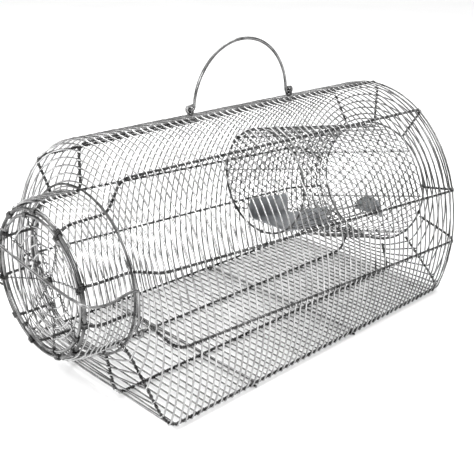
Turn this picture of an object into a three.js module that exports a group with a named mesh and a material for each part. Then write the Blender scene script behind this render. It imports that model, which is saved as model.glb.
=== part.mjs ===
// Live catch wire trap: an arched cage wound from galvanised wire, with a round capped neck at the
// front, a round funnel entrance at the back and a see-saw trough inside the funnel.
// Millimetres. +X runs from the capped neck to the funnel entrance, +Z is up, Z = 0 is the floor.
import * as THREE from 'three';

// Driving dimensions
const BODY_LENGTH = 400;
const BODY_HEIGHT = 220;
const ARCH_RADIUS = 152;
const WIDTH_RATIO = 0.8;
const CORNER_RADIUS = 13;
const WIRE_DIAMETER = 1.6;
const WINDING_PITCH = 7.7;
const PANEL_THICKNESS = 1.6;
const PANEL_BARS = 11;
const RAIL_WIDTH = 1.2;
const GAP = 0.4;
const RIB_RADIUS = 1.4;
const RIB_BEND = 3;
const RIB_HOLE_CLEARANCE = 4;
const FACE_HOLE_CLEARANCE = 1.4;
const NECK_RADIUS = 71;
const NECK_LENGTH = 38;
const NECK_HEIGHT = 109;
const MOUTH_RADIUS = 62;
const NECK_LIP_RADIUS = 65.5;
const NECK_LIP_SHARPNESS = 4;
const FUNNEL_HEIGHT = 99.5;
const FUNNEL_MOUTH_RADIUS = 68;
const FUNNEL_END_RADIUS = 54;
const FUNNEL_END_X = 20;
const FUNNEL_END_HEIGHT = 139;
const RING_WIRE = 2.2;
const LONG_BARS = 8;
const RING_BAR = 3;
const CAP_RADIUS = 57;
const CAP_DISH = 9;
const HANDLE_SPAN = 120;
const HANDLE_RISE = 58;
const HANDLE_X = -15;
const CROSSBAR_POSITIONS = { front: -98, rear: 42 };
const PLATE_SLOPE = 7;

const HALF = BODY_LENGTH / 2;
const ARCH_CENTRE = BODY_HEIGHT - ARCH_RADIUS;
const TUBE_WALL = 1.6;
const NECK_END = -HALF - NECK_LENGTH;
const MOUTH_X = NECK_END - GAP - RING_WIRE;

const wire = new THREE.MeshStandardMaterial({ color: 0xb9bbbd, roughness: 0.32, metalness: 0.95 });
const heavyWire = new THREE.MeshStandardMaterial({ color: 0xc4c6c8, roughness: 0.28, metalness: 0.95 });
const sheet = new THREE.MeshStandardMaterial({ color: 0x9a9da0, roughness: 0.45, metalness: 0.9 });

const trap = new THREE.Group();
trap.name = 'live_catch_trap';

function addMesh(name, geometry, material) {
  const mesh = new THREE.Mesh(geometry, material);
  mesh.name = name;
  trap.add(mesh);
  return mesh;
}

// ---------------------------------------------------------------------------------------------
// Body outline. s runs round the section: 0 at the ridge, 1 where the right wall meets the bottom
// corner, 2 where the corner meets the floor, 3 in the middle of the floor, then back up the left
// side to 6. Right is -Y.
const cornerCentre = Math.sqrt((ARCH_RADIUS - CORNER_RADIUS) ** 2 - (ARCH_CENTRE - CORNER_RADIUS) ** 2);
const archEnd = Math.PI / 2 + Math.atan2(ARCH_CENTRE - CORNER_RADIUS, cornerCentre);

function rightHalf(s) {
  if (s <= 1) {
    return [ARCH_RADIUS * Math.sin(s * archEnd), ARCH_CENTRE + ARCH_RADIUS * Math.cos(s * archEnd)];
  }
  if (s <= 2) {
    const turn = archEnd + (s - 1) * (Math.PI - archEnd);
    return [cornerCentre + CORNER_RADIUS * Math.sin(turn), CORNER_RADIUS * (1 + Math.cos(turn))];
  }
  return [cornerCentre * (3 - s), 0];
}

function outline(s) {
  const around = ((s % 6) + 6) % 6;
  const side = around <= 3 ? -1 : 1;
  const [y, z] = rightHalf(around <= 3 ? around : 6 - around);
  return new THREE.Vector2(side * y * WIDTH_RATIO, z);
}

function outlineTangent(s) {
  const step = 1e-4;
  return outline(s + step).sub(outline(s - step)).normalize();
}

function outlineSpeed(s) {
  const step = 1e-4;
  return outline(s + step).distanceTo(outline(s - step)) / (2 * step);
}

function insetOutline(s, inset) {
  const tangent = outlineTangent(s);
  return outline(s).add(new THREE.Vector2(tangent.y, -tangent.x).multiplyScalar(-inset));
}

// ---------------------------------------------------------------------------------------------
// Turns every triangle over when the volume they enclose comes out negative.
function facingOut(positions) {
  let volume = 0;
  const [a, b, c] = [new THREE.Vector3(), new THREE.Vector3(), new THREE.Vector3()];
  for (let k = 0; k < positions.length; k += 9) {
    a.fromArray(positions, k);
    b.fromArray(positions, k + 3);
    c.fromArray(positions, k + 6);
    volume += a.dot(b.clone().cross(c));
  }
  if (volume > 0) return positions;
  const turned = [];
  for (let k = 0; k < positions.length; k += 9) {
    for (const offset of [0, 6, 3]) turned.push(...positions.slice(k + offset, k + offset + 3));
  }
  return turned;
}

// A closed plate on a grid of cells. point(i, j, face) gives each corner on face 0 and face 1,
// filled(i, j) says which cells hold material, and wrap joins the last row of j to the first.
function gridPlate(countI, countJ, point, filled, wrap = false) {
  const positions = [];
  const corner = (i, j, face) => point(i, wrap ? j % countJ : j, face);
  const isFilled = (i, j) => {
    if (i < 0 || i >= countI) return false;
    if (wrap) return filled(i, (j + countJ) % countJ);
    return j >= 0 && j < countJ && filled(i, j);
  };
  const quad = (a, b, c, d) => {
    for (const vertex of [a, b, c, a, c, d]) positions.push(vertex.x, vertex.y, vertex.z);
  };
  for (let i = 0; i < countI; i++) {
    for (let j = 0; j < countJ; j++) {
      if (!isFilled(i, j)) continue;
      const [a, b, c, d] = [[i, j], [i + 1, j], [i + 1, j + 1], [i, j + 1]];
      const face = (corners, side) => corners.map(([u, v]) => corner(u, v, side));
      quad(...face([a, b, c, d], 0));
      quad(...face([d, c, b, a], 1));
      const edges = [[a, b, i, j - 1], [b, c, i + 1, j], [c, d, i, j + 1], [d, a, i - 1, j]];
      for (const [from, to, nextI, nextJ] of edges) {
        if (isFilled(nextI, nextJ)) continue;
        quad(corner(...to, 0), corner(...from, 0), corner(...from, 1), corner(...to, 1));
      }
    }
  }
  const geometry = new THREE.BufferGeometry();
  geometry.setAttribute('position', new THREE.Float32BufferAttribute(facingOut(positions), 3));
  geometry.computeVertexNormals();
  return geometry;
}

// A rod swept through the given points, with a section at each point.
class PointPath extends THREE.Curve {
  constructor(points) {
    super();
    this.points = points;
  }
  getPointAt(u, target = new THREE.Vector3()) {
    const last = this.points.length - 1;
    const place = THREE.MathUtils.clamp(u * last, 0, last);
    const index = Math.min(Math.floor(place + 1e-6), last - 1);
    return target.lerpVectors(this.points[index], this.points[index + 1], place - index);
  }
  getTangentAt(u, target = new THREE.Vector3()) {
    const last = this.points.length - 1;
    const index = Math.round(u * last);
    const before = this.points[Math.max(index - 1, 0)];
    const after = this.points[Math.min(index + 1, last)];
    const here = this.points[index];
    const arriving = here.clone().sub(before).normalize();
    return target.copy(after).sub(here).normalize().add(arriving).normalize();
  }
}

function polygon(radius, sides) {
  const shape = new THREE.Shape();
  for (let k = 0; k < sides; k++) {
    const angle = (2 * Math.PI * (k + 0.5)) / sides;
    const place = [radius * Math.cos(angle), radius * Math.sin(angle)];
    if (k === 0) shape.moveTo(...place);
    else shape.lineTo(...place);
  }
  shape.closePath();
  return shape;
}

function rod(points, radius, sides = 6) {
  const extrudePath = new PointPath(points);
  return new THREE.ExtrudeGeometry(polygon(radius, sides), { extrudePath, steps: points.length - 1 });
}

// A wire ring standing across the body, with its centre on the body's middle plane.
function ring(name, x, height, radius, wireRadius, material = heavyWire) {
  const geometry = new THREE.TorusGeometry(radius, wireRadius, 6, 32);
  geometry.rotateY(Math.PI / 2);
  geometry.translate(x, 0, height);
  return addMesh(name, geometry, material);
}

// ---------------------------------------------------------------------------------------------
// Body: eleven lengthwise ribs, and a slotted winding panel in each bay between two ribs.
const RIBS = [
  { name: 'rib_ridge', front: 0, rear: 0 },
  { name: 'rib_roof_right', front: 0.24, rear: 0.27 },
  { name: 'rib_shoulder_right', front: 0.54, rear: 0.62 },
  { name: 'rib_wall_right', front: 0.75, rear: 0.81 },
  { name: 'rib_corner_right', front: 1.67, rear: 1.67 },
  { name: 'rib_floor_right', front: 2.65, rear: 2.65 },
  { name: 'rib_floor_left', front: 3.35, rear: 3.35 },
  { name: 'rib_corner_left', front: 4.33, rear: 4.33 },
  { name: 'rib_wall_left', front: 5.25, rear: 5.19 },
  { name: 'rib_shoulder_left', front: 5.46, rear: 5.38 },
  { name: 'rib_roof_left', front: 5.7, rear: 5.73 },
];
const BAYS = [
  { name: 'panel_roof_right', facets: 2 },
  { name: 'panel_shoulder_right', facets: 3 },
  { name: 'panel_wall_right', facets: 2 },
  { name: 'panel_side_right', facets: 5 },
  { name: 'panel_floor_right', facets: 2 },
  { name: 'panel_floor_middle', facets: 1 },
  { name: 'panel_floor_left', facets: 2 },
  { name: 'panel_side_left', facets: 5 },
  { name: 'panel_wall_left', facets: 2 },
  { name: 'panel_shoulder_left', facets: 3 },
  { name: 'panel_roof_left', facets: 2 },
];

const PANEL_END = HALF - PANEL_THICKNESS - GAP;
const RIB_INSET = RIB_RADIUS + 0.1;
const RIB_END = PANEL_END - RIB_RADIUS;

function ribPlace(rib, x) {
  return THREE.MathUtils.lerp(rib.front, rib.rear, (x + HALF) / BODY_LENGTH);
}

function barLines(from, to, bars, barWidth) {
  const pitch = (to - from - barWidth) / (bars - 1);
  const lines = [];
  for (let k = 0; k < bars; k++) {
    lines.push(from + k * pitch, from + k * pitch + barWidth);
  }
  return lines;
}

// The bars are as wide as it takes to hold the metal of all the turns of wire they stand for.
function windingPanel(index) {
  const bay = BAYS[index];
  const first = RIBS[index];
  const second = RIBS[(index + 1) % RIBS.length];
  const barPitch = (2 * PANEL_END) / PANEL_BARS;
  const wireArea = (Math.PI / 4) * WIRE_DIAMETER ** 2;
  const barWidth = (wireArea / WINDING_PITCH) * (barPitch / PANEL_THICKNESS);
  const xs = barLines(-PANEL_END, PANEL_END, PANEL_BARS, barWidth);
  const clear = RIB_RADIUS + GAP;
  const linesAt = (x) => {
    const from = ribPlace(first, x);
    const to = ribPlace(second, x) + (index === BAYS.length - 1 ? 6 : 0);
    const fromSpeed = outlineSpeed(from);
    const toSpeed = outlineSpeed(to);
    const start = from + (clear + RAIL_WIDTH) / fromSpeed;
    const end = to - (clear + RAIL_WIDTH) / toSpeed;
    const lines = [from + clear / fromSpeed];
    for (let k = 0; k <= bay.facets; k++) lines.push(start + ((end - start) * k) / bay.facets);
    lines.push(to - clear / toSpeed);
    return lines;
  };
  const rows = xs.map(linesAt);
  const last = bay.facets + 1;
  const point = (i, j, face) => {
    const place = insetOutline(rows[i][j], face * PANEL_THICKNESS);
    return new THREE.Vector3(xs[i], place.x, place.y);
  };
  const geometry = gridPlate(xs.length - 1, last + 1, point, (i, j) => i % 2 === 0 || j === 0 || j === last);
  return addMesh(bay.name, geometry, wire);
}

// A rib runs up one face from the hole, along the body and down the other face to the hole.
function twistedRib(rib) {
  const spoke = (sign, height, holeRadius) => {
    const s = ribPlace(rib, sign * HALF);
    const centre = new THREE.Vector2(0, height);
    const turn = insetOutline(s, RIB_INSET);
    const inner = insetOutline(s, RIB_INSET + RIB_BEND);
    const end = inner.clone().sub(centre).setLength(holeRadius).add(centre);
    return [end, inner, turn].map((place) => new THREE.Vector3(sign * RIB_END, place.x, place.y));
  };
  const points = spoke(-1, NECK_HEIGHT, NECK_RADIUS + RIB_HOLE_CLEARANCE);
  const steps = 6;
  for (let k = 1; k < steps; k++) {
    const x = -RIB_END + (2 * RIB_END * k) / steps;
    const place = insetOutline(ribPlace(rib, x), RIB_INSET);
    points.push(new THREE.Vector3(x, place.x, place.y));
  }
  points.push(...spoke(1, FUNNEL_HEIGHT, FUNNEL_MOUTH_RADIUS + RIB_HOLE_CLEARANCE).reverse());
  return addMesh(rib.name, rod(points, RIB_RADIUS), wire);
}

// ---------------------------------------------------------------------------------------------
// End faces: five slotted sectors round each hole.
const SECTORS = ['upper_right', 'lower_right', 'bottom', 'lower_left', 'upper_left'];

function outlineAtAngle(angle, height) {
  let low = 0;
  let high = 6;
  for (let k = 0; k < 40; k++) {
    const middle = (low + high) / 2;
    const place = outline(middle);
    let found = Math.atan2(-place.x, place.y - height);
    if (found < 0) found += 2 * Math.PI;
    if (found < angle) low = middle;
    else high = middle;
  }
  return outline((low + high) / 2);
}

function faceSector(name, sign, index, height, holeRadius) {
  const seam = 0.0035;
  const rail = 0.018;
  const cells = 4;
  const turn = (2 * Math.PI) / SECTORS.length;
  const from = index * turn + seam;
  const to = (index + 1) * turn - seam;
  const angles = [from];
  for (let k = 0; k <= cells; k++) angles.push(from + rail + ((to - from - 2 * rail) * k) / cells);
  angles.push(to);
  const radial = barLines(0, 1, 4, 0.07);
  const point = (i, j, face) => {
    const angle = angles[j];
    const hole = new THREE.Vector2(-Math.sin(angle), Math.cos(angle)).multiplyScalar(holeRadius);
    hole.y += height;
    const place = hole.lerp(outlineAtAngle(angle, height), radial[i]);
    return new THREE.Vector3(sign * (HALF - face * PANEL_THICKNESS), place.x, place.y);
  };
  const filled = (i, j) => i % 2 === 0 || j === 0 || j === cells + 1;
  return addMesh(name, gridPlate(radial.length - 1, cells + 2, point, filled), wire);
}

// ---------------------------------------------------------------------------------------------
// Round cages: the neck and the funnel are slotted tubes between two upright circles. Straight
// sides have a sharpness of 1, and a higher one turns the sides in near the second circle. Rows from
// openRow on have no bars in the bottom quarter, where the see-saw trough is the floor.
function cageTube(name, from, to, bars, sharpness, openRow = Infinity) {
  const xs = barLines(from.x, to.x, bars, RING_BAR * Math.sign(to.x - from.x));
  const angles = [];
  for (let k = 0; k < LONG_BARS; k++) {
    const middle = (2 * Math.PI * k) / LONG_BARS;
    const halfBar = RING_BAR / 2 / from.radius;
    angles.push(middle - halfBar, middle + halfBar, middle + Math.PI / LONG_BARS);
  }
  const point = (i, j, face) => {
    const along = (xs[i] - from.x) / (to.x - from.x);
    const radius = THREE.MathUtils.lerp(from.radius, to.radius, along ** sharpness) - face * TUBE_WALL;
    const height = THREE.MathUtils.lerp(from.height, to.height, along);
    return new THREE.Vector3(xs[i], radius * Math.sin(angles[j]), height + radius * Math.cos(angles[j]));
  };
  const bottomQuarter = (j) => j > (9 * LONG_BARS) / 8 && j < (15 * LONG_BARS) / 8;
  const filled = (i, j) => (i % 2 === 0 || j % 3 === 0) && !(i >= openRow && bottomQuarter(j));
  return addMesh(name, gridPlate(xs.length - 1, angles.length, point, filled, true), wire);
}

function crossbar(name, x) {
  const radius = 1.2;
  const inset = RIB_INSET + RIB_RADIUS + GAP + radius;
  const points = [];
  const steps = 12;
  for (let k = 0; k <= steps; k++) {
    const place = insetOutline(1.25 + (3.5 * k) / steps, inset);
    points.push(new THREE.Vector3(x, place.x, place.y));
  }
  return addMesh(name, rod(points, radius), heavyWire);
}

// ---------------------------------------------------------------------------------------------
// Carrying handle: a wire arch whose ends turn out through two eyes on the ridge.
const EYE_RADIUS = 3.2;
const EYE_WIRE = 0.9;
const HANDLE_AXIS_Z = BODY_HEIGHT + 0.3 + EYE_WIRE + EYE_RADIUS;

function handle() {
  const pin = 8;
  const steps = 18;
  const points = [new THREE.Vector3(HANDLE_X - HANDLE_SPAN / 2 - pin, 0, HANDLE_AXIS_Z)];
  for (let k = 0; k <= steps; k++) {
    const angle = Math.PI - (Math.PI * k) / steps;
    const x = HANDLE_X + (HANDLE_SPAN / 2) * Math.cos(angle);
    points.push(new THREE.Vector3(x, 0, HANDLE_AXIS_Z + HANDLE_RISE * Math.sin(angle)));
  }
  points.push(new THREE.Vector3(HANDLE_X + HANDLE_SPAN / 2 + pin, 0, HANDLE_AXIS_Z));
  addMesh('carrying_handle', rod(points, 1.5), heavyWire);
}

function handleEye(name, side) {
  const geometry = new THREE.TorusGeometry(EYE_RADIUS, EYE_WIRE, 6, 14);
  geometry.rotateY(Math.PI / 2);
  geometry.translate(HANDLE_X + side * (HANDLE_SPAN / 2 + 4.5), 0, HANDLE_AXIS_Z);
  addMesh(name, geometry, wire);
}

// ---------------------------------------------------------------------------------------------
// Mouth cap: a dished wire wheel on a vertical hinge at the left of the mouth.
const HINGE_Y = 71;

function capWheel() {
  const radii = [5, 8, 21, 23, 37, 39, 52.6, 54.4];
  const spokes = 6;
  const halfSpoke = 0.03;
  const angles = [];
  for (let k = 0; k < spokes; k++) {
    const middle = (2 * Math.PI * k) / spokes;
    const step = (2 * Math.PI) / spokes;
    angles.push(middle - halfSpoke, middle + halfSpoke, middle + step / 3, middle + (2 * step) / 3);
  }
  const point = (i, j, face) => {
    const dish = CAP_DISH * (1 - radii[i] / CAP_RADIUS);
    const x = MOUTH_X - 0.8 + dish + face * PANEL_THICKNESS;
    return new THREE.Vector3(x, radii[i] * Math.sin(angles[j]), NECK_HEIGHT + radii[i] * Math.cos(angles[j]));
  };
  const filled = (i, j) => i % 2 === 0 || j % 4 === 0;
  addMesh('cap_wheel', gridPlate(radii.length - 1, angles.length, point, filled, true), wire);
}

function capHinge() {
  const reach = 22;
  const near = Math.sqrt(MOUTH_RADIUS ** 2 - reach ** 2) + RING_WIRE + 1.6;
  const staple = [
    new THREE.Vector3(MOUTH_X, near, NECK_HEIGHT - reach),
    new THREE.Vector3(MOUTH_X, HINGE_Y, NECK_HEIGHT - reach),
    new THREE.Vector3(MOUTH_X, HINGE_Y, NECK_HEIGHT + reach),
    new THREE.Vector3(MOUTH_X, near, NECK_HEIGHT + reach),
  ];
  addMesh('cap_hinge_staple', rod(staple, 1.2), heavyWire);
  for (const [name, offset] of [['cap_hinge_loop_upper', 14], ['cap_hinge_loop_lower', -14]]) {
    const loop = 3.5;
    const z = NECK_HEIGHT + offset;
    const points = [new THREE.Vector3(MOUTH_X - loop, CAP_RADIUS - 4, z)];
    for (let k = 0; k <= 9; k++) {
      const angle = Math.PI - (k * Math.PI) / 6.5;
      points.push(new THREE.Vector3(MOUTH_X + loop * Math.cos(angle), HINGE_Y + loop * Math.sin(angle), z));
    }
    addMesh(name, rod(points, 0.9), wire);
  }
}

// Latch: an S-shaped wire across the cap. Its far end turns on a staple on the cap, and its near
// end runs back along the neck and drops into a loop over a keeper on the front face.
const LATCH = { x: MOUTH_X - 8, y: 56, z: 136, wire: 1.3, eye: 3 };
const LOOP = { x: -HALF - 3.4, y: -80, z: 84, radius: 4 };

function latch() {
  const half = 8;
  const front = MOUTH_X - 2.3;
  const staple = [
    new THREE.Vector3(front, Math.sqrt(CAP_RADIUS ** 2 - (LATCH.z - half - NECK_HEIGHT) ** 2), LATCH.z - half),
    new THREE.Vector3(LATCH.x, LATCH.y, LATCH.z - half),
    new THREE.Vector3(LATCH.x, LATCH.y, LATCH.z + half),
    new THREE.Vector3(front, Math.sqrt(CAP_RADIUS ** 2 - (LATCH.z + half - NECK_HEIGHT) ** 2), LATCH.z + half),
  ];
  staple[0].x -= 0.9;
  staple[3].x -= 0.9;
  addMesh('latch_pivot_staple', rod(staple, 1.1), wire);
  const points = [];
  for (let k = 0; k <= 9; k++) {
    const angle = (-80 + (260 * k) / 9) * (Math.PI / 180);
    const place = [LATCH.x + LATCH.eye * Math.cos(angle), LATCH.y + LATCH.eye * Math.sin(angle)];
    points.push(new THREE.Vector3(...place, LATCH.z));
  }
  const across = LATCH.x - LATCH.eye;
  const bends = [
    [across, 30, 132], [across, -10, 126.5], [across, -50, 122], [across, -68, 121],
    [across + 2.5, -76, 120], [across + 9, -80, 118.5], [across + 20, -80.5, 117.5],
    [across + 32, -80, 119], [LOOP.x - 6, LOOP.y, 120.5], [LOOP.x - 1.5, LOOP.y, 119.5],
    [LOOP.x, LOOP.y, 116], [LOOP.x, LOOP.y, 100], [LOOP.x, LOOP.y + 0.4, LOOP.z + LOOP.radius + 3.2],
  ];
  for (const bend of bends) points.push(new THREE.Vector3(...bend));
  for (let k = 0; k <= 10; k++) {
    const angle = (60 - 27 * k) * (Math.PI / 180);
    const y = LOOP.y + LOOP.radius * Math.cos(angle);
    points.push(new THREE.Vector3(LOOP.x, y, LOOP.z + LOOP.radius * Math.sin(angle)));
  }
  addMesh('latch_wire', rod(points, LATCH.wire), heavyWire);
  const keeper = [
    new THREE.Vector3(-HALF - 0.4, LOOP.y, LOOP.z),
    new THREE.Vector3(LOOP.x - 1.8, LOOP.y, LOOP.z),
  ];
  addMesh('latch_keeper', rod(keeper, 1), heavyWire);
}

// ---------------------------------------------------------------------------------------------
// See-saw: a sheet trough at the inner end of the funnel, on an axle below its floor, with two arms
// that carry a counterweight in the entrance. The counterweight holds the trough's inner end up.
const PIVOT = { x: 80, z: 83 };
const PLATE = { inner: 55, outer: 4, halfWidth: 28, flange: 20, thickness: 1, lift: 1.9 };
const AXLE = { radius: 1.5, length: 75 };
const ARM = { wire: 1.1, y: 14, innerX: 58, outerX: 198.4 };
const WEIGHT = { radius: 19, thickness: 4, z: 62, armHeight: 6, armY: 12 };
const BRACKET = { y: 35, halfWidth: 3.6, rise: 12, thickness: 1.2 };

function extrudeAlongX(shape, from, length) {
  const geometry = new THREE.ExtrudeGeometry(shape, { depth: length, bevelEnabled: false, curveSegments: 10 });
  geometry.rotateX(Math.PI / 2);
  geometry.rotateZ(Math.PI / 2);
  geometry.translate(from, 0, 0);
  return geometry;
}

function tiltPlate() {
  const { inner, outer, halfWidth, flange, thickness, lift } = PLATE;
  const inside = halfWidth - thickness;
  const rim = lift + flange;
  const corners = [
    [halfWidth, lift], [halfWidth, rim], [inside, rim], [inside, lift + thickness],
    [-inside, lift + thickness], [-inside, rim], [-halfWidth, rim],
  ];
  const channel = new THREE.Shape();
  channel.moveTo(-halfWidth, lift);
  for (const corner of corners) channel.lineTo(...corner);
  channel.closePath();
  const geometry = extrudeAlongX(channel, -inner, inner + outer);
  geometry.rotateY(THREE.MathUtils.degToRad(PLATE_SLOPE));
  geometry.translate(PIVOT.x, 0, PIVOT.z);
  addMesh('tilt_plate', geometry, sheet);
}

function plateAxle() {
  const geometry = new THREE.CylinderGeometry(AXLE.radius, AXLE.radius, AXLE.length, 12);
  geometry.translate(PIVOT.x, 0, PIVOT.z);
  addMesh('plate_axle', geometry, heavyWire);
}

// Each arm runs from under the trough's floor, below the axle, to the counterweight.
function weightArm(name, side) {
  const floorRise = (PIVOT.x - ARM.innerX) * Math.tan(THREE.MathUtils.degToRad(PLATE_SLOPE));
  const places = [
    [ARM.innerX, ARM.y, PIVOT.z + PLATE.lift + floorRise - GAP - ARM.wire],
    [PIVOT.x, ARM.y, PIVOT.z - AXLE.radius - GAP - ARM.wire],
    [ARM.outerX, WEIGHT.armY, WEIGHT.z + WEIGHT.armHeight],
  ];
  const points = places.map(([x, y, z]) => new THREE.Vector3(x, side * y, z));
  addMesh(name, rod(points, ARM.wire), heavyWire);
}

function counterweight() {
  const halfDisc = new THREE.Shape();
  halfDisc.absarc(0, 0, WEIGHT.radius, 0, Math.PI, false);
  halfDisc.closePath();
  const geometry = extrudeAlongX(halfDisc, ARM.outerX + GAP, WEIGHT.thickness);
  geometry.translate(0, 0, WEIGHT.z);
  addMesh('plate_counterweight', geometry, sheet);
}

function axleBracket(name, side) {
  const { y, halfWidth, rise, thickness } = BRACKET;
  const shape = new THREE.Shape();
  shape.moveTo(-halfWidth, rise);
  shape.lineTo(-halfWidth, 0);
  shape.absarc(0, 0, halfWidth, Math.PI, 2 * Math.PI, false);
  shape.lineTo(halfWidth, rise);
  shape.closePath();
  const bore = new THREE.Path();
  bore.absarc(0, 0, AXLE.radius + GAP, 0, 2 * Math.PI, true);
  shape.holes.push(bore);
  const geometry = new THREE.ExtrudeGeometry(shape, { depth: thickness, bevelEnabled: false, curveSegments: 10 });
  geometry.rotateX(Math.PI / 2);
  geometry.translate(PIVOT.x, side * y + thickness / 2, PIVOT.z);
  addMesh(name, geometry, sheet);
}

// ---------------------------------------------------------------------------------------------
// Assembly
BAYS.forEach((bay, index) => windingPanel(index));
RIBS.forEach((rib) => twistedRib(rib));
SECTORS.forEach((sector, index) => {
  faceSector(`front_face_${sector}`, -1, index, NECK_HEIGHT, NECK_RADIUS + FACE_HOLE_CLEARANCE);
  faceSector(`rear_face_${sector}`, 1, index, FUNNEL_HEIGHT, FUNNEL_MOUTH_RADIUS + FACE_HOLE_CLEARANCE);
});
const neckBase = { x: -HALF + 6, radius: NECK_RADIUS, height: NECK_HEIGHT };
const neckLip = { x: NECK_END, radius: NECK_LIP_RADIUS, height: NECK_HEIGHT };
cageTube('neck_winding', neckBase, neckLip, 5, NECK_LIP_SHARPNESS);
ring('neck_base_ring', -HALF - GAP - 1.8, NECK_HEIGHT, NECK_RADIUS + 2.6, 1.8);
ring('mouth_ring', MOUTH_X, NECK_HEIGHT, MOUTH_RADIUS, RING_WIRE);
const funnelMouth = { x: HALF, radius: FUNNEL_MOUTH_RADIUS, height: FUNNEL_HEIGHT };
const funnelEnd = { x: FUNNEL_END_X, radius: FUNNEL_END_RADIUS, height: FUNNEL_END_HEIGHT };
const troughRow = 7;
cageTube('entrance_funnel', funnelMouth, funnelEnd, 6, 1, troughRow);
ring('entrance_ring', HALF + GAP + RING_WIRE, FUNNEL_HEIGHT, FUNNEL_MOUTH_RADIUS + 1, RING_WIRE);
ring('funnel_end_ring', FUNNEL_END_X - GAP - 1.6, FUNNEL_END_HEIGHT, FUNNEL_END_RADIUS - 0.8, 1.6);
crossbar('floor_crossbar_front', CROSSBAR_POSITIONS.front);
crossbar('floor_crossbar_rear', CROSSBAR_POSITIONS.rear);
handle();
handleEye('handle_eye_front', -1);
handleEye('handle_eye_rear', 1);
ring('cap_ring', MOUTH_X, NECK_HEIGHT, CAP_RADIUS, 1.8);
capWheel();
capHinge();
latch();
tiltPlate();
plateAxle();
weightArm('weight_arm_left', 1);
weightArm('weight_arm_right', -1);
counterweight();
axleBracket('axle_bracket_left', 1);
axleBracket('axle_bracket_right', -1);

export default trap;
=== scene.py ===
import math

import bpy
import numpy as np
from mathutils import Matrix, Vector


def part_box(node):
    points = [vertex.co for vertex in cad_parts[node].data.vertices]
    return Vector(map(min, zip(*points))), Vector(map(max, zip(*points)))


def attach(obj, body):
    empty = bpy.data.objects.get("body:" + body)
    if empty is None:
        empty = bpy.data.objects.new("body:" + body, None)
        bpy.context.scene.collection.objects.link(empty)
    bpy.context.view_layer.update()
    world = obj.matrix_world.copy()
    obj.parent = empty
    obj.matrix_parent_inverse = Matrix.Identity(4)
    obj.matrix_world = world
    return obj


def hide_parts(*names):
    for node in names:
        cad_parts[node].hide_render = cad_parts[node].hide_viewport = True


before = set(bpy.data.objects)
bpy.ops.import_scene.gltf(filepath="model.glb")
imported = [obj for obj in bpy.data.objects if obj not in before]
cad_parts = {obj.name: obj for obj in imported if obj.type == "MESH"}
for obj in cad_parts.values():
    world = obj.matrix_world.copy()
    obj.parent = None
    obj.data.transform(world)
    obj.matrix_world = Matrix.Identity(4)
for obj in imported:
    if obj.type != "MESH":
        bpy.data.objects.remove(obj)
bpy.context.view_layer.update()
RANDOM = np.random.default_rng(11)

# ---------------------------------------------------------------------------------------------
# Dimensions, in metres. The cage's section is an arch over rounded bottom corners.
ARCH_RADIUS = 0.152
WIDTH_RATIO = 0.8
CORNER_RADIUS = 0.013
BODY_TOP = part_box("panel_roof_right")[1].z
HALF_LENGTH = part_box("rear_face_bottom")[1].x

WIRE = 0.0008
STRAND = 0.00074
FINE_STRAND = 0.00038
WINDING_INSET = 0.0026
PITCH = 0.0077
NECK_TURNS = 9
FACE_TURNS = 6
CORNER_TURNS = 1.4
POINTS_PER_TURN = 108
POINTS_PER_PITCH = 20
HALF_TWISTS = 3
RIB_SINK = 0.0004
RIB_LIFT = 0.0012
RISE_WIDTH = 0.0017
# Distances from a rib at which the winding gets extra points, so that its rise is smooth
CROSSING_POINTS = np.array([-0.003, -0.0018, -0.0009, 0, 0.0009, 0.0018, 0.003])
# How far the winding wanders: along itself in turns, and off the surface
LOOSE_TURNS = 0.055
LOOSE_LIFT = 0.00012

# Wire radii of the rings and of the heavier wires
MOUTH_WIRE = 0.0014
ENTRANCE_WIRE = 0.0011
BASE_WIRE = 0.001
FUNNEL_END_WIRE = 0.0011
CAP_WIRE = 0.0014
PIN_WIRE = 0.0011
LOOP_WIRE = 0.0009
LATCH_WIRE = 0.00125
STAPLE_WIRE = 0.001
HANDLE_WIRE = 0.00145
EYE_WIRE = 0.00075
CROSSBAR_WIRE = 0.0012

# Wire radii of the part's own rings: half a ring's box less its wire is the ring's middle radius
PART_RING_WIRE = 0.0022
PART_BASE_WIRE = 0.0018
PART_FUNNEL_WIRE = 0.0016
PART_CAP_WIRE = 0.0018


def middle(node):
    low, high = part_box(node)
    return (low + high) / 2


def ring_size(node, wire):
    """The centre and the middle radius of a CAD ring that stands across the body."""
    low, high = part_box(node)
    return (low + high) / 2, (high.z - low.z) / 2 - wire


# ---------------------------------------------------------------------------------------------
# Materials
def material(name, roughness, metallic=1.0):
    made = bpy.data.materials.new(name)
    made.use_nodes = True
    shader = made.node_tree.nodes["Principled BSDF"]
    shader.inputs["Metallic"].default_value = metallic
    shader.inputs["Roughness"].default_value = roughness
    return made, made.node_tree, shader


def noise(tree, scale, detail=3.0, stretch=(1, 1, 1)):
    coordinates = tree.nodes.new("ShaderNodeTexCoord")
    mapping = tree.nodes.new("ShaderNodeMapping")
    mapping.inputs["Scale"].default_value = stretch
    texture = tree.nodes.new("ShaderNodeTexNoise")
    texture.inputs["Scale"].default_value = scale
    texture.inputs["Detail"].default_value = detail
    tree.links.new(coordinates.outputs["Object"], mapping.inputs["Vector"])
    tree.links.new(mapping.outputs["Vector"], texture.inputs["Vector"])
    return texture


def ramp(tree, source, stops):
    """A colour ramp on a texture's first output. stops are (place, grey or colour)."""
    node = tree.nodes.new("ShaderNodeValToRGB")
    elements = node.color_ramp.elements
    while len(elements) < len(stops):
        elements.new(0.5)
    for element, (place, colour) in zip(elements, stops):
        if isinstance(colour, (int, float)):
            colour = (colour, colour, colour)
        element.position = place
        element.color = (*colour, 1)
    tree.links.new(source, node.inputs["Fac"])
    return node.outputs["Color"]


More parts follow.
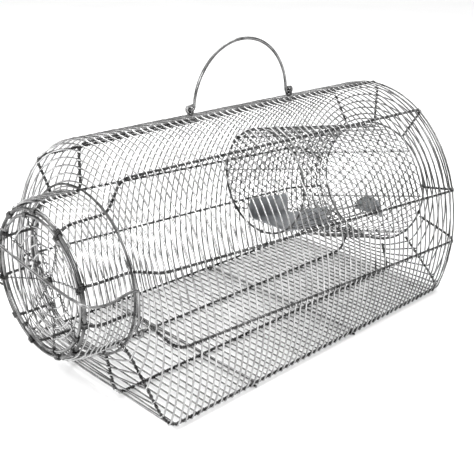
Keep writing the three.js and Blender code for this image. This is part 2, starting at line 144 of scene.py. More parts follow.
def bump(tree, shader, height, strength, distance):
    node = tree.nodes.new("ShaderNodeBump")
    node.inputs["Strength"].default_value = strength
    node.inputs["Distance"].default_value = distance
    tree.links.new(height, node.inputs["Height"])
    tree.links.new(node.outputs["Normal"], shader.inputs["Normal"])


def outward(tree):
    """1 where a wire's surface faces away from the middle of the cage and 0 where it faces in."""
    # This is the mask for the painted shade on the wires' inner sides.
    coordinates = tree.nodes.new("ShaderNodeTexCoord")
    from_middle = tree.nodes.new("ShaderNodeVectorMath")
    from_middle.operation = "SUBTRACT"
    from_middle.inputs[1].default_value = CAGE_MIDDLE
    direction = tree.nodes.new("ShaderNodeVectorMath")
    direction.operation = "NORMALIZE"
    facing = tree.nodes.new("ShaderNodeVectorMath")
    facing.operation = "DOT_PRODUCT"
    spread = tree.nodes.new("ShaderNodeMapRange")
    spread.inputs["From Min"].default_value = -0.35
    spread.inputs["From Max"].default_value = 0.35
    tree.links.new(coordinates.outputs["Object"], from_middle.inputs[0])
    tree.links.new(from_middle.outputs["Vector"], direction.inputs[0])
    tree.links.new(direction.outputs["Vector"], facing.inputs[0])
    tree.links.new(coordinates.outputs["Normal"], facing.inputs[1])
    tree.links.new(facing.outputs["Value"], spread.inputs["Value"])
    return spread.outputs["Result"]


def blend_colours(tree, factor, first, second):
    node = tree.nodes.new("ShaderNodeMix")
    node.data_type = "RGBA"
    tree.links.new(factor, node.inputs["Factor"])
    tree.links.new(first, node.inputs["A"])
    tree.links.new(second, node.inputs["B"])
    return node.outputs["Result"]


def galvanised_wire(name, dark, light, rough_low, rough_high, inner=None):
    """Zinc-coated drawn wire: cloudy patches, duller runs and fine dimples in the zinc. Where inner is
    given, the wire's side that faces the middle of the cage is painted darker with those greys, as painted
    shade."""
    made, tree, shader = material(name, rough_low)
    clouds = noise(tree, 90, 4).outputs["Fac"]
    colour = ramp(tree, clouds, [(0.32, dark), (0.7, light)])
    if inner:
        # Painted shade: darker greys on the side of each wire that faces the middle of the cage.
        painted_inner_shade = ramp(tree, clouds, [(0.32, inner[0]), (0.7, inner[1])])
        colour = blend_colours(tree, outward(tree), painted_inner_shade, colour)
    tree.links.new(colour, shader.inputs["Base Color"])
    dull = noise(tree, 240, 3).outputs["Fac"]
    tree.links.new(ramp(tree, dull, [(0.3, rough_low), (0.75, rough_high)]), shader.inputs["Roughness"])
    bump(tree, shader, noise(tree, 1500, 2).outputs["Fac"], 0.25, 0.0001)
    return made


def galvanised_sheet(name):
    """Hot-dip zinc sheet with its crystals, called spangle, and faint rolling streaks."""
    made, tree, shader = material(name, 0.4)
    coordinates = tree.nodes.new("ShaderNodeTexCoord")
    crystals = tree.nodes.new("ShaderNodeTexVoronoi")
    crystals.inputs["Scale"].default_value = 150
    tree.links.new(coordinates.outputs["Object"], crystals.inputs["Vector"])
    grey = tree.nodes.new("ShaderNodeRGBToBW")
    tree.links.new(crystals.outputs["Color"], grey.inputs["Color"])
    flakes = ramp(tree, grey.outputs["Val"], [(0.1, (0.26, 0.27, 0.285)), (0.9, (0.46, 0.47, 0.485))])
    tree.links.new(flakes, shader.inputs["Base Color"])
    tree.links.new(ramp(tree, grey.outputs["Val"], [(0.1, 0.34), (0.9, 0.52)]), shader.inputs["Roughness"])
    streaks = noise(tree, 60, 4, (1, 14, 1)).outputs["Fac"]
    bump(tree, shader, streaks, 0.2, 0.0002)
    return made


CAGE_MIDDLE = (0, 0, BODY_TOP / 2)
# The last pair of greys on the winding and netting wires is painted shade on the wires' inner sides.
WINDING_WIRE = galvanised_wire("winding_wire", 0.3, 0.66, 0.12, 0.26, (0.07, 0.24))
TWISTED_WIRE = galvanised_wire("twisted_wire", 0.02, 0.16, 0.18, 0.34)
HEAVY_WIRE = galvanised_wire("heavy_wire", 0.1, 0.36, 0.14, 0.26)
DARK_WIRE = galvanised_wire("dark_wire", 0.05, 0.2, 0.2, 0.34)
NETTING_WIRE = galvanised_wire("netting_wire", 0.1, 0.36, 0.22, 0.4, (0.03, 0.12))
SHEET = galvanised_sheet("galvanised_sheet")


# ---------------------------------------------------------------------------------------------
# Wires. A wire piece is one or more round tubes along lists of points.
def wire(name, paths, radius, body, finish, slot, replaced=(), closed=False, sides=8):
    curve = bpy.data.curves.new(name, "CURVE")
    curve.dimensions = "3D"
    curve.bevel_depth = radius
    curve.bevel_resolution = sides // 2 - 2
    curve.use_fill_caps = True
    for path in paths:
        points = np.asarray(path, float)
        spline = curve.splines.new("POLY")
        spline.points.add(len(points) - 1)
        spline.points.foreach_set("co", np.column_stack([points, np.ones(len(points))]).ravel())
        spline.use_cyclic_u = closed
        spline.use_smooth = True
    holder = bpy.data.objects.new(name + "_curve", curve)
    bpy.context.scene.collection.objects.link(holder)
    evaluated = holder.evaluated_get(bpy.context.evaluated_depsgraph_get())
    mesh = bpy.data.meshes.new_from_object(evaluated)
    bpy.data.objects.remove(holder)
    return finish_piece(name, mesh, body, finish, replaced)


def finish_piece(name, mesh, body, finish, replaced=()):
    mesh.materials.clear()
    mesh.materials.append(finish)
    piece = bpy.data.objects.new(name, mesh)
    bpy.context.scene.collection.objects.link(piece)
    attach(piece, body)
    if replaced:
        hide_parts(*replaced)
    return piece


def circle(centre, radius, count=120, across=(0, 1, 0), up=(0, 0, 1)):
    angles = np.linspace(0, 2 * np.pi, count, endpoint=False)
    across, up = np.array(across, float), np.array(up, float)
    return np.array(centre) + radius * (np.outer(np.cos(angles), across) + np.outer(np.sin(angles), up))


def smooth_path(points, steps=10):
    """A Catmull-Rom curve through the points."""
    p = np.asarray(points, float)
    p = np.vstack([2 * p[0] - p[1], p, 2 * p[-1] - p[-2]])
    t = np.linspace(0, 1, steps, endpoint=False)[:, None]
    curve = []
    for a, b, c, d in zip(p, p[1:], p[2:], p[3:]):
        square = 2 * a - 5 * b + 4 * c - d
        cube = 3 * b - a - 3 * c + d
        curve.append(0.5 * (2 * b + (c - a) * t + square * t**2 + cube * t**3))
    return np.vstack(curve + [p[-2:-1]])


def twisted_pair(centre, normal, side, phase, normal_reach, side_reach):
    """The two strands that wind round a line, each half a turn behind the other."""
    strands = []
    for start in (0, np.pi):
        across = normal * np.cos(phase + start)[:, None] * normal_reach
        along = side * np.sin(phase + start)[:, None] * side_reach
        strands.append(centre + across + along)
    return strands


def coil(centre, axis, start, radius, turns, pitch):
    """A short helix round a wire: axis is along the wire and start is any direction across it."""
    axis = np.array(axis, float) / np.linalg.norm(axis)
    first = np.array(start, float) - axis * np.dot(start, axis)
    first /= np.linalg.norm(first)
    second = np.cross(axis, first)
    t = np.linspace(-0.5, 0.5, int(turns * 12) + 1)
    angle = 2 * np.pi * turns * t
    ring = np.outer(np.cos(angle), first) + np.outer(np.sin(angle), second)
    return np.array(centre) + radius * ring + np.outer(t * turns * pitch, axis)


# ---------------------------------------------------------------------------------------------
# The cage's surface. turn counts the winding's turns from the mouth over the neck, the front face,
# the body and the rear face to the entrance. around is 0 at the ridge, 1 where the right wall
# meets the bottom corner, 2 where the corner meets the floor, 3 in the middle of the floor.
ARCH_CENTRE = BODY_TOP - ARCH_RADIUS
CORNER_CENTRE = math.sqrt((ARCH_RADIUS - CORNER_RADIUS) ** 2 - (ARCH_CENTRE - CORNER_RADIUS) ** 2)
ARCH_END = math.pi / 2 + math.atan2(ARCH_CENTRE - CORNER_RADIUS, CORNER_CENTRE)

MOUTH, MOUTH_RADIUS = ring_size("mouth_ring", PART_RING_WIRE)
ENTRANCE, ENTRANCE_RADIUS = ring_size("entrance_ring", PART_RING_WIRE)
BASE, BASE_RADIUS = ring_size("neck_base_ring", PART_BASE_WIRE)
FUNNEL_END, FUNNEL_END_RADIUS = ring_size("funnel_end_ring", PART_FUNNEL_WIRE)
NECK_LOW, NECK_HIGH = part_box("neck_winding")
NECK_RADIUS = (NECK_HIGH.z - NECK_LOW.z) / 2 - WINDING_INSET
LIP_TURNS = 3.4
REAR_HOLE_RADIUS = ENTRANCE_RADIUS + 0.0025
FACE_X = HALF_LENGTH - WINDING_INSET
BODY_TURNS = round(2 * FACE_X / PITCH)

TURNS = np.cumsum([0, NECK_TURNS, FACE_TURNS, BODY_TURNS, FACE_TURNS])
PROFILE_X = [MOUTH.x + 0.0015, -FACE_X, -FACE_X, FACE_X, FACE_X]
PROFILE_REACH = [0, 0, 1, 1, 0]


def outline(around):
    """y and z on the body's section."""
    around = np.mod(around, 6)
    side = np.where(around <= 3, -1, 1)
    half = np.where(around <= 3, around, 6 - around)
    arch = np.clip(half, 0, 1) * ARCH_END
    corner = ARCH_END + np.clip(half - 1, 0, 1) * (math.pi - ARCH_END)
    y = np.where(half <= 1, ARCH_RADIUS * np.sin(arch), CORNER_CENTRE + CORNER_RADIUS * np.sin(corner))
    z = np.where(half <= 1, ARCH_CENTRE + ARCH_RADIUS * np.cos(arch), CORNER_RADIUS * (1 + np.cos(corner)))
    y = np.where(half > 2, CORNER_CENTRE * (3 - half), y)
    return np.stack([side * y * WIDTH_RATIO, np.where(half > 2, 0, z)], axis=-1)


def inset_outline(around, inset):
    step = 1e-4
    along = outline(around + step) - outline(around - step)
    along /= np.linalg.norm(along, axis=-1, keepdims=True)
    return outline(around) + np.stack([-along[..., 1], along[..., 0]], axis=-1) * inset


def profile(turn, values):
    """A value along the cage, rounded off over the corners between neck, faces and body."""
    offsets = np.linspace(-CORNER_TURNS, CORNER_TURNS, 13)
    return np.mean([np.interp(turn + offset, TURNS, values) for offset in offsets], axis=0)


def neck_radius(turn):
    """The neck's lip turns in to the mouth's wire over its first turns."""
    lip = np.clip(1 - turn / LIP_TURNS, 0, 1)
    return NECK_RADIUS - (NECK_RADIUS - MOUTH_RADIUS) * (1 - np.sqrt(1 - lip**2))


def cage(turn, around, lift=0):
    """Points on the cage's surface, lift metres outside the winding's own middle line."""
    turn, around = np.broadcast_arrays(np.asarray(turn, float), np.asarray(around, float))
    front = turn < TURNS[2] + BODY_TURNS / 2
    height = np.where(front, MOUTH.z, ENTRANCE.z)
    radius = np.where(front, neck_radius(turn), REAR_HOLE_RADIUS)
    edge = inset_outline(around, WINDING_INSET)
    hole = np.stack([np.zeros_like(height), height], axis=-1)
    spoke = edge - hole
    rim = hole + spoke / np.linalg.norm(spoke, axis=-1, keepdims=True) * radius[..., None]
    reach = profile(turn, PROFILE_REACH)[..., None]
    place = rim + (edge - rim) * reach
    points = np.column_stack([profile(turn, PROFILE_X), place])
    if np.any(lift):
        points = points + cage_frame(turn, around)[0] * np.broadcast_to(lift, turn.shape)[:, None]
    return points


def cage_frame(turn, around):
    """The outward normal and the direction along a turn of the winding, at each point."""
    step = 1e-3
    onward = cage(turn + step, around) - cage(turn - step, around)
    sideways = cage(turn, around + step) - cage(turn, around - step)
    normal = np.cross(sideways, onward)
    normal /= np.linalg.norm(normal, axis=1, keepdims=True)
    side = np.cross(onward, normal)
    side /= np.linalg.norm(side, axis=1, keepdims=True)
    return normal, side


def wander(turn, size, waves=9):
    """A smooth random value along the winding."""
    total = np.zeros_like(turn)
    for frequency in RANDOM.uniform(0.6, 7, waves):
        total += np.sin(2 * np.pi * (frequency * turn + RANDOM.uniform()))
    return total * size / math.sqrt(waves)


# ---------------------------------------------------------------------------------------------
# Camera, floor and light
def set_camera():
    yaw, pitch, roll = math.radians(45.0), math.radians(21.98), math.radians(1.13)
    forward = Vector((math.cos(pitch) * math.cos(yaw), math.cos(pitch) * math.sin(yaw), -math.sin(pitch)))
    right = Vector((math.sin(yaw), -math.cos(yaw), 0))
    up = right.cross(forward)
    across = right * math.cos(roll) + up * math.sin(roll)
    upright = up * math.cos(roll) - right * math.sin(roll)
    camera = bpy.data.cameras.new("camera")
    camera.lens = 61.7
    camera.sensor_width = 36
    holder = bpy.data.objects.new("camera", camera)
    holder.matrix_world = Matrix.Translation((-0.5456, -0.5274, 0.3904)) @ Matrix(
        (across, upright, -forward)
    ).transposed().to_4x4()
    bpy.context.scene.collection.objects.link(holder)
    bpy.context.scene.camera = holder


def area_light(name, place, target, size, power):
    light = bpy.data.lights.new(name, "AREA")
    light.shape = "RECTANGLE"
    light.size, light.size_y = size
    light.energy = power
    holder = bpy.data.objects.new(name, light)
    holder.visible_camera = False
    holder.location = place
    holder.rotation_euler = (Vector(target) - Vector(place)).to_track_quat("-Z", "Y").to_euler()
    bpy.context.scene.collection.objects.link(holder)


def set_stage():
    size = 6
    mesh = bpy.data.meshes.new("floor")
    corners = [(-size, -size, 0), (size, -size, 0), (size, size, 0), (-size, size, 0)]
    mesh.from_pydata(corners, [], [(0, 1, 2, 3)])
    made, tree, shader = material("floor", 0.6, 0.0)
    paper = ramp(tree, noise(tree, 3, 2).outputs["Fac"], [(0.3, 0.93), (0.7, 0.96)])
    tree.links.new(paper, shader.inputs["Base Color"])
    mesh.materials.append(made)
    floor = bpy.data.objects.new("floor", mesh)
    bpy.context.scene.collection.objects.link(floor)
    set_world()
    bpy.context.scene.view_settings.view_transform = "Standard"
    area_light("key", (0.5, 0.9, 1.7), (0, 0, 0.1), (1.2, 1.2), 22)
    area_light("left", (-1.5, 0.5, 0.9), (0, 0, 0.1), (0.5, 1.2), 8)
    area_light("camera_side", (-1.0, -1.1, 1.1), (0, 0, 0.1), (0.5, 0.9), 14)


def set_world():
    """A studio: white above and at the horizon, with a dark band between for the wires to reflect."""
    world = bpy.data.worlds.new("studio")
    world.use_nodes = True
    tree = world.node_tree
    place = tree.nodes.new("ShaderNodeSeparateXYZ")
    tree.links.new(tree.nodes.new("ShaderNodeTexCoord").outputs["Generated"], place.inputs["Vector"])
    stops = [(0.0, 1.0), (0.04, 1.0), (0.1, 0.16), (0.42, 0.16), (0.62, 1.0)]
    colour = ramp(tree, place.outputs["Z"], stops)
    tree.links.new(colour, tree.nodes["Background"].inputs["Color"])
    tree.nodes["Background"].inputs["Strength"].default_value = 1.35
    bpy.context.scene.world = world


# ---------------------------------------------------------------------------------------------
# Windings
RIBS = {
    "ridge": (0, 0),
    "roof_right": (0.24, 0.27),
    "shoulder_right": (0.54, 0.62),
    "wall_right": (0.75, 0.81),
    "corner_right": (1.67, 1.67),
    "floor_right": (2.65, 2.65),
    "floor_left": (3.35, 3.35),
    "corner_left": (4.33, 4.33),
    "wall_left": (5.25, 5.19),
    "shoulder_left": (5.46, 5.38),
    "roof_left": (5.7, 5.73),
}


def nodes_starting(prefix):
    return [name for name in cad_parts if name.startswith(prefix)]


def rib_around(turn, front, rear):
    along = (profile(turn, PROFILE_X) + HALF_LENGTH) / (2 * HALF_LENGTH)
    return front + (rear - front) * np.clip(along, 0, 1)


def rib_crossings(first, last):
    """The turns at which the winding meets a rib, and the winding's length per turn there."""
    whole = np.arange(first, last, dtype=float)
    crossings = [whole + rib_around(whole + front / 6, front, rear) / 6 for front, rear in RIBS.values()]
    crossings = np.concatenate(crossings)
    step = 1e-3
    before = cage(crossings - step, (crossings - step) * 6)
    after = cage(crossings + step, (crossings + step) * 6)
    return crossings, np.linalg.norm(after - before, axis=1) / (2 * step)


def winding(name, first, last, replaced):
    """One wire wound round and round, which rises a little where it crosses over each rib."""
    crossings, speeds = rib_crossings(first, last)
    even = np.arange(first * POINTS_PER_TURN, last * POINTS_PER_TURN + 1) / POINTS_PER_TURN
    near = crossings[:, None] + CROSSING_POINTS / speeds[:, None]
    turn = np.unique(np.concatenate([even, near.ravel()]))
    turn = turn[(turn >= first) & (turn <= last)]
    rise = np.zeros_like(turn)
    for crossing, speed in zip(crossings, speeds):
        rise = np.maximum(rise, RIB_LIFT * np.exp(-(((turn - crossing) * speed / RISE_WIDTH) ** 2)))
    loose = turn + wander(turn, LOOSE_TURNS)
    points = cage(loose, turn * 6, wander(turn, LOOSE_LIFT) + rise)
    wire(name, [points], WIRE, "cage", WINDING_WIRE, "winding_wire", replaced)


def twisted_rib(name, front, rear):
    """Two strands twisted together under the winding, side by side where a turn crosses them."""
    turn = np.arange(0, TURNS[-1] * POINTS_PER_PITCH + 1) / POINTS_PER_PITCH
    around = rib_around(turn, front, rear)
    normal, side = cage_frame(turn, around)
    phase = HALF_TWISTS * np.pi * (turn - around / 6) + np.pi / 2
    strands = twisted_pair(cage(turn, around, -RIB_SINK), normal, side, phase, STRAND, STRAND)
    wire("twisted_rib_" + name, strands, STRAND, "cage", TWISTED_WIRE, "winding_wire", ["rib_" + name],
         sides=6)


def make_cage():
    winding("neck_wire", 0, TURNS[1], ["neck_winding"])
    winding("front_face_wire", TURNS[1], TURNS[2], nodes_starting("front_face_"))
    winding("body_wire", TURNS[2], TURNS[3], nodes_starting("panel_"))
    winding("rear_face_wire", TURNS[3], TURNS[4], nodes_starting("rear_face_"))
    for name, (front, rear) in RIBS.items():
        twisted_rib(name, front, rear)


# ---------------------------------------------------------------------------------------------
# Rings of the neck, the mouth and the entrance, with the ribs' ends wrapped round them
def rib_angles(end):
    """Where each rib reaches a hole, as the angle from upright towards the left."""
    turn = np.array([0.0]) if end == "front" else np.array([float(TURNS[-1])])
    height = MOUTH.z if end == "front" else ENTRANCE.z
    angles = []
    for front, rear in RIBS.values():
        place = cage(turn, np.array([float(front if end == "front" else rear)]))[0]
        angles.append(math.atan2(place[1], place[2] - height))
    return angles


def wraps(name, centre, radius, reach, angles, body, turns=3.5, strand=STRAND):
    paths = []
    for angle in angles:
        away = np.array([0, math.sin(angle), math.cos(angle)])
        along = np.array([0, math.cos(angle), -math.sin(angle)])
        paths.append(coil(np.array(centre) + away * radius, along, away, reach, turns, 2.1 * strand))
    wire(name, paths, strand, body, TWISTED_WIRE, "winding_wire", sides=6)


def make_rings():
    wire("mouth_wire", [circle(MOUTH, MOUTH_RADIUS)], MOUTH_WIRE, "cage", DARK_WIRE, "heavy_wire",
         ["mouth_ring"], closed=True, sides=12)
    wraps("mouth_wraps", MOUTH, MOUTH_RADIUS, MOUTH_WIRE + STRAND, rib_angles("front"), "cage")
    wire("neck_base_wire", [circle(BASE, BASE_RADIUS)], BASE_WIRE, "cage", DARK_WIRE, "heavy_wire",
         ["neck_base_ring"], closed=True)
    wire("entrance_wire", [circle(ENTRANCE, ENTRANCE_RADIUS)], ENTRANCE_WIRE, "cage", DARK_WIRE,
         "heavy_wire", ["entrance_ring"], closed=True, sides=12)
    wraps("entrance_wraps", ENTRANCE, ENTRANCE_RADIUS, ENTRANCE_WIRE + FINE_STRAND, rib_angles("rear"),
          "cage", strand=FINE_STRAND)


# ---------------------------------------------------------------------------------------------
# Funnel: hexagonal netting on a cone, with twisted ribs and an end ring. Inside TROUGH_X its bottom
# quarter is open, because the see-saw trough is the floor there.
NETTING_CELLS = 40
NETTING_WIRE_RADIUS = 0.00052
NETTING_GAP = 0.0001
HEXAGON_CORNERS = ((0.0, -1), (0.16, -1), (0.5, 1), (0.66, 1))
FUNNEL_RIBS = 8
FUNNEL_RIB_LIFT = 0.0006
FUNNEL_RIB_REACH = (0.0009, 0.0006)
TROUGH_X = 0.0908
OPEN_FROM = 0.75 * math.pi
FUNNEL_START = ENTRANCE.x - 0.003
FUNNEL_START_RADIUS = ENTRANCE_RADIUS - 0.0022


def funnel_point(x, angle, lift=0):
    along = (FUNNEL_START - x) / (FUNNEL_START - FUNNEL_END.x)
    radius = FUNNEL_START_RADIUS + (FUNNEL_END_RADIUS - FUNNEL_START_RADIUS) * along + lift
    height = ENTRANCE.z + (FUNNEL_END.z - ENTRANCE.z) * along
    return np.stack([x, radius * np.sin(angle), height + radius * np.cos(angle)], axis=-1)


def netting_row(points, bulge):
    angles, xs = np.array(points).T
    return funnel_point(xs, angles, bulge)


def make_netting(rows, row):
    """Rows of zigzag wire that meet in hexagons. The inner rows stop at the ribs beside the trough."""
    step = 2 * np.pi / NETTING_CELLS
    outer_rows, inner_rows = [], []
    for k in range(rows):
        start = FUNNEL_END.x + (k + 0.5) * row
        shift = step / 2 * (k % 2)
        zigzag = [(shift + (j + part) * step - math.pi, start + rise * (row / 2 - NETTING_GAP))
                  for j in range(NETTING_CELLS) for part, rise in HEXAGON_CORNERS]
        bulge = NETTING_WIRE_RADIUS * (1 if k % 2 else -1)
        if start > TROUGH_X:
            outer_rows.append(netting_row(zigzag, bulge))
        else:
            zigzag = [point for point in zigzag if abs(point[0]) < OPEN_FROM]
            inner_rows.append(netting_row([(-OPEN_FROM, start), *zigzag, (OPEN_FROM, start)], bulge))
    wire("funnel_netting", outer_rows, NETTING_WIRE_RADIUS, "cage", NETTING_WIRE, "winding_wire",
         ["entrance_funnel"], closed=True, sides=6)
    wire("funnel_netting_inner", inner_rows, NETTING_WIRE_RADIUS, "cage", NETTING_WIRE, "winding_wire",
         sides=6)


def make_funnel():
    rows = round((FUNNEL_START - FUNNEL_END.x) / PITCH)
    row = (FUNNEL_START - FUNNEL_END.x) / rows
    make_netting(rows, row)
    strands = []
    rib_turns = [2 * np.pi * k / FUNNEL_RIBS for k in range(FUNNEL_RIBS)]
    for angle in rib_turns:
        over_trough = abs(angle - math.pi) < np.pi / FUNNEL_RIBS
        x = np.linspace(ENTRANCE.x - 0.002, TROUGH_X if over_trough else FUNNEL_END.x, rows * 8)
        centre = funnel_point(x, np.full_like(x, angle), FUNNEL_RIB_LIFT)
        normal = np.tile([0, math.sin(angle), math.cos(angle)], (len(x), 1))
        side = np.tile([0, math.cos(angle), -math.sin(angle)], (len(x), 1))
        strands += twisted_pair(centre, normal, side, np.pi * (x - x[0]) / row, *FUNNEL_RIB_REACH)
    wire("funnel_ribs", strands, FINE_STRAND, "cage", TWISTED_WIRE, "winding_wire", sides=6)
    wire("funnel_end_wire", [circle(FUNNEL_END, FUNNEL_END_RADIUS)], FUNNEL_END_WIRE, "cage",
         NETTING_WIRE, "heavy_wire", ["funnel_end_ring"], closed=True)
    wraps("funnel_end_wraps", FUNNEL_END, FUNNEL_END_RADIUS, FUNNEL_END_WIRE + FINE_STRAND, rib_turns,
          "cage", strand=FINE_STRAND)


# ---------------------------------------------------------------------------------------------
# Cap, hinge and latch
CAP, CAP_RADIUS = ring_size("cap_ring", PART_CAP_WIRE)
CAP_RINGS = (0.007, 0.015, 0.023, 0.031, 0.039, 0.047)
CAP_SPOKES = 8
CAP_DISH = 0.009
CAP_WRAP_REACH = 0.002


def cap_point(radius, angle):
    x = CAP.x + CAP_DISH * (1 - (radius / CAP_RADIUS) ** 2)
    return np.stack([x, radius * np.sin(angle), CAP.z + radius * np.cos(angle)], axis=-1)


def make_cap():
    wire("cap_rim", [circle(CAP, CAP_RADIUS)], CAP_WIRE, "cap", HEAVY_WIRE, "heavy_wire", ["cap_ring"],
         closed=True)
    angles = np.linspace(0, 2 * np.pi, 97)[:-1]
    rings = [cap_point(np.full(len(angles), radius), angles) for radius in CAP_RINGS]
    wire("cap_rings", rings, WIRE, "cap", WINDING_WIRE, "winding_wire", ["cap_wheel"], closed=True)
    strands = []
    spoke_angles = [2 * np.pi * (k + 0.3) / CAP_SPOKES for k in range(CAP_SPOKES)]
    for angle in spoke_angles:
        radius = np.linspace(0.002, CAP_RADIUS, 70)
        centre = cap_point(radius, np.full_like(radius, angle))
        side = np.tile([0, math.cos(angle), -math.sin(angle)], (len(radius), 1))
        normal = np.tile([-1.0, 0, 0], (len(radius), 1))
        phase = np.pi * (radius - CAP_RINGS[0]) / (CAP_RINGS[1] - CAP_RINGS[0])
        strands += twisted_pair(centre, normal, side, phase, WIRE + FINE_STRAND, FINE_STRAND)
    wire("cap_spokes", strands, FINE_STRAND, "cap", TWISTED_WIRE, "winding_wire", sides=6)
    wraps("cap_wraps", CAP, CAP_RADIUS, CAP_WRAP_REACH, spoke_angles, "cap", 2.5)
    hub = cap_point(np.array([0.0]), np.array([0.0]))[0]
    knot = [
        coil(hub, (1, 0, 0), (0, 1, 0), 0.0025, 3, 0.0013),
        coil(hub, (0, 1, 0.3), (0, 0, 1), 0.002, 3, 0.0013),
    ]
    wire("cap_hub_knot", knot, STRAND, "cap", TWISTED_WIRE, "winding_wire", sides=6)


def make_hinge():
    """A staple on the mouth's ring, whose upright is the pin, and two loops of the cap round it."""
    low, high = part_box("cap_hinge_staple")
    x, reach, bend, near, pin = MOUTH.x, 0.022, 0.003, low.y, high.y - 0.0012
    corners = [(x, near, MOUTH.z - reach), (x, pin - 0.001, MOUTH.z - reach),
               (x, pin, MOUTH.z - reach + bend), (x, pin, MOUTH.z), (x, pin, MOUTH.z + reach - bend),
               (x, pin - 0.001, MOUTH.z + reach), (x, near, MOUTH.z + reach)]
    wire("cap_hinge_pin_wire", [smooth_path(corners, 8)], PIN_WIRE, "cage", HEAVY_WIRE, "heavy_wire",
         ["cap_hinge_staple"])
    radius = 0.0032
    for name in ("cap_hinge_loop_upper", "cap_hinge_loop_lower"):
        z = middle(name).z
        path = [(x - 0.0035, CAP_RADIUS - 0.004, z)]
        for k in range(28):
            angle = math.pi - 2 * math.pi * k / 20
            path.append((x + radius * math.cos(angle), pin + radius * math.sin(angle), z + 0.0018 * k / 20))
        wire(name + "_wire", [path], LOOP_WIRE, "cap", HEAVY_WIRE, "winding_wire", [name])


# The latch's middle line, repeated from the part: across the cap, back along the neck and down to
# its loop.
LATCH_PIVOT = (-0.2486, 0.056, 0.136)
LATCH_BENDS = (
    (-0.2516, 0.030, 0.132), (-0.2516, -0.010, 0.1265), (-0.2516, -0.050, 0.122), (-0.2511, -0.068, 0.121),
    (-0.2490, -0.0765, 0.120), (-0.2420, -0.080, 0.1185), (-0.2310, -0.0805, 0.1175),
    (-0.2190, -0.080, 0.119), (-0.2094, -0.080, 0.1205), (-0.2050, -0.080, 0.1195),
    (-0.2034, -0.080, 0.116), (-0.2034, -0.080, 0.100), (-0.2034, -0.0797, 0.0915),
)
LOOP_CENTRE = (-0.2034, -0.080, 0.084)
LOOP_RADIUS = 0.004
LATCH_EYE_RADIUS = 0.003


def arc(centre, radius, first, last, count, across, up):
    """Points on an arc round centre, between two angles in degrees."""
    angles = np.radians(np.linspace(first, last, count))
    return np.array(centre) + radius * (np.outer(np.cos(angles), across) + np.outer(np.sin(angles), up))


def make_latch():
    pivot = Vector(LATCH_PIVOT)
    eye = arc(LATCH_PIVOT, LATCH_EYE_RADIUS, -80, 180, 16, (1, 0, 0), (0, 1, 0))
    loop = arc(LOOP_CENTRE, LOOP_RADIUS, 60, -210, 20, (0, 1, 0), (0, 0, 1))
    path = np.vstack([eye, smooth_path(LATCH_BENDS, 10), loop])
    wire("latch_rod", [path], LATCH_WIRE, "latch", HEAVY_WIRE, "heavy_wire", ["latch_wire"], sides=10)
    low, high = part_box("latch_pivot_staple")
    half, back = 0.008, high.x - 0.0011
    corners = [(back, low.y + 0.0011, pivot.z - half), (pivot.x, pivot.y, pivot.z - half + 0.0005),
               (pivot.x, pivot.y, pivot.z), (pivot.x, pivot.y, pivot.z + half - 0.0005),
               (back, low.y - 0.004, pivot.z + half)]
    wire("latch_pivot_wire", [smooth_path(corners, 8)], STAPLE_WIRE, "cap", HEAVY_WIRE, "winding_wire",
         ["latch_pivot_staple"])
    keeper = middle("latch_keeper")
    path = [(-FACE_X, keeper.y, keeper.z), (keeper.x + 0.001, keeper.y, keeper.z),
            (keeper.x - 0.0022, keeper.y, keeper.z)]
    wire("latch_keeper_wire", [path], STAPLE_WIRE, "cage", HEAVY_WIRE, "heavy_wire", ["latch_keeper"])


# ---------------------------------------------------------------------------------------------
# Carrying handle, its eyes, and the floor's crossbars
HOOK = 0.0025
CROSSBAR_INSET = 0.0053
CROSSBAR_HOOK = 0.0031
CROSSBAR_LOWEST = 0.0013


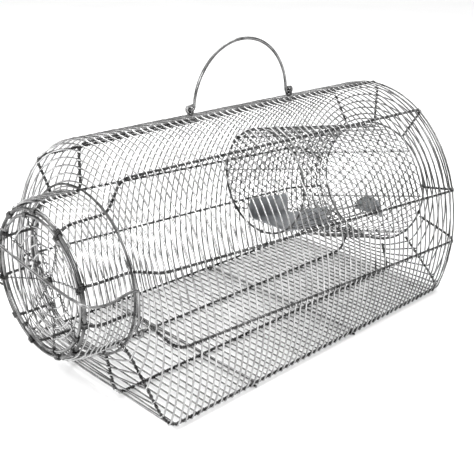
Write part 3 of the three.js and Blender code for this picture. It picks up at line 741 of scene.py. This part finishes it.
def make_handle():
    low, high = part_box("carrying_handle")
    axis = low.z + 0.0015
    centre, span, rise = (low.x + high.x) / 2, high.x - low.x - 0.016, high.z - axis - 0.0015
    pin = span / 2 + 0.006
    turns = np.linspace(0, math.pi, 9)
    hook = [(pin + HOOK * math.sin(turn), 0, HOOK * (1 - math.cos(turn))) for turn in turns]
    hook.append((pin - 0.005, 0, 0.0052))
    turns = np.linspace(0, math.pi, 65)
    arch = [(span / 2 * math.cos(turn), 0, rise * math.sin(turn)) for turn in turns]
    path = hook[::-1] + [(span / 2 + 0.002, 0, 0)] + arch[1:-1] + [(-span / 2 - 0.002, 0, 0)]
    path += [(-x, y, z) for x, y, z in hook]
    points = np.array(path) + np.array([centre, 0, axis])
    wire("handle_wire", [points], HANDLE_WIRE, "handle", HEAVY_WIRE, "heavy_wire", ["carrying_handle"],
         sides=10)
    for name in ("handle_eye_front", "handle_eye_rear"):
        eye = middle(name)
        paths = [circle(eye + Vector((offset, 0, 0)), 0.0029, 24) for offset in (-0.0008, 0.0008)]
        wire(name + "_wire", paths, EYE_WIRE, "cage", TWISTED_WIRE, "winding_wire", [name], closed=True)


def crossbar_hook(x, end, rib, side):
    """The bar's end, bent round a corner rib, with its middle line kept above the floor."""
    centre = inset_outline(np.array([rib]), WINDING_INSET)[0]
    start = math.atan2(end[1] - centre[1], end[0] - centre[0])
    sweep = start + np.linspace(0, 1.25 * np.pi, 12) * side
    across = centre[0] + CROSSBAR_HOOK * np.cos(sweep)
    height = np.maximum(centre[1] + CROSSBAR_HOOK * np.sin(sweep), CROSSBAR_LOWEST)
    return np.column_stack([np.full(len(sweep), x), across, height])


def make_crossbars():
    for name in ("floor_crossbar_front", "floor_crossbar_rear"):
        x = middle(name).x
        place = inset_outline(np.linspace(1.5, 4.5, 40), CROSSBAR_INSET)
        bar = np.column_stack([np.full(len(place), x), place])
        right = crossbar_hook(x, place[0], RIBS["corner_right"][0], -1)
        left = crossbar_hook(x, place[-1], RIBS["corner_left"][0], 1)
        path = np.vstack([right[::-1], bar[2:-2], left])
        wire(name + "_wire", [path], CROSSBAR_WIRE, "cage", HEAVY_WIRE, "heavy_wire", [name])


# ---------------------------------------------------------------------------------------------
# See-saw: the part's own trough, counterweight, arms, axle and brackets, with new finishes
def dress(names, finish):
    for name in names:
        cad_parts[name].data.materials.clear()
        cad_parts[name].data.materials.append(finish)


def dress_see_saw():
    dress(("tilt_plate", "plate_counterweight", "axle_bracket_left", "axle_bracket_right"), SHEET)
    dress(("weight_arm_left", "weight_arm_right", "plate_axle"), HEAVY_WIRE)


# ---------------------------------------------------------------------------------------------
set_camera()
set_stage()
make_cage()
make_rings()
make_funnel()
make_cap()
make_hinge()
make_latch()
make_handle()
make_crossbars()
dress_see_saw()
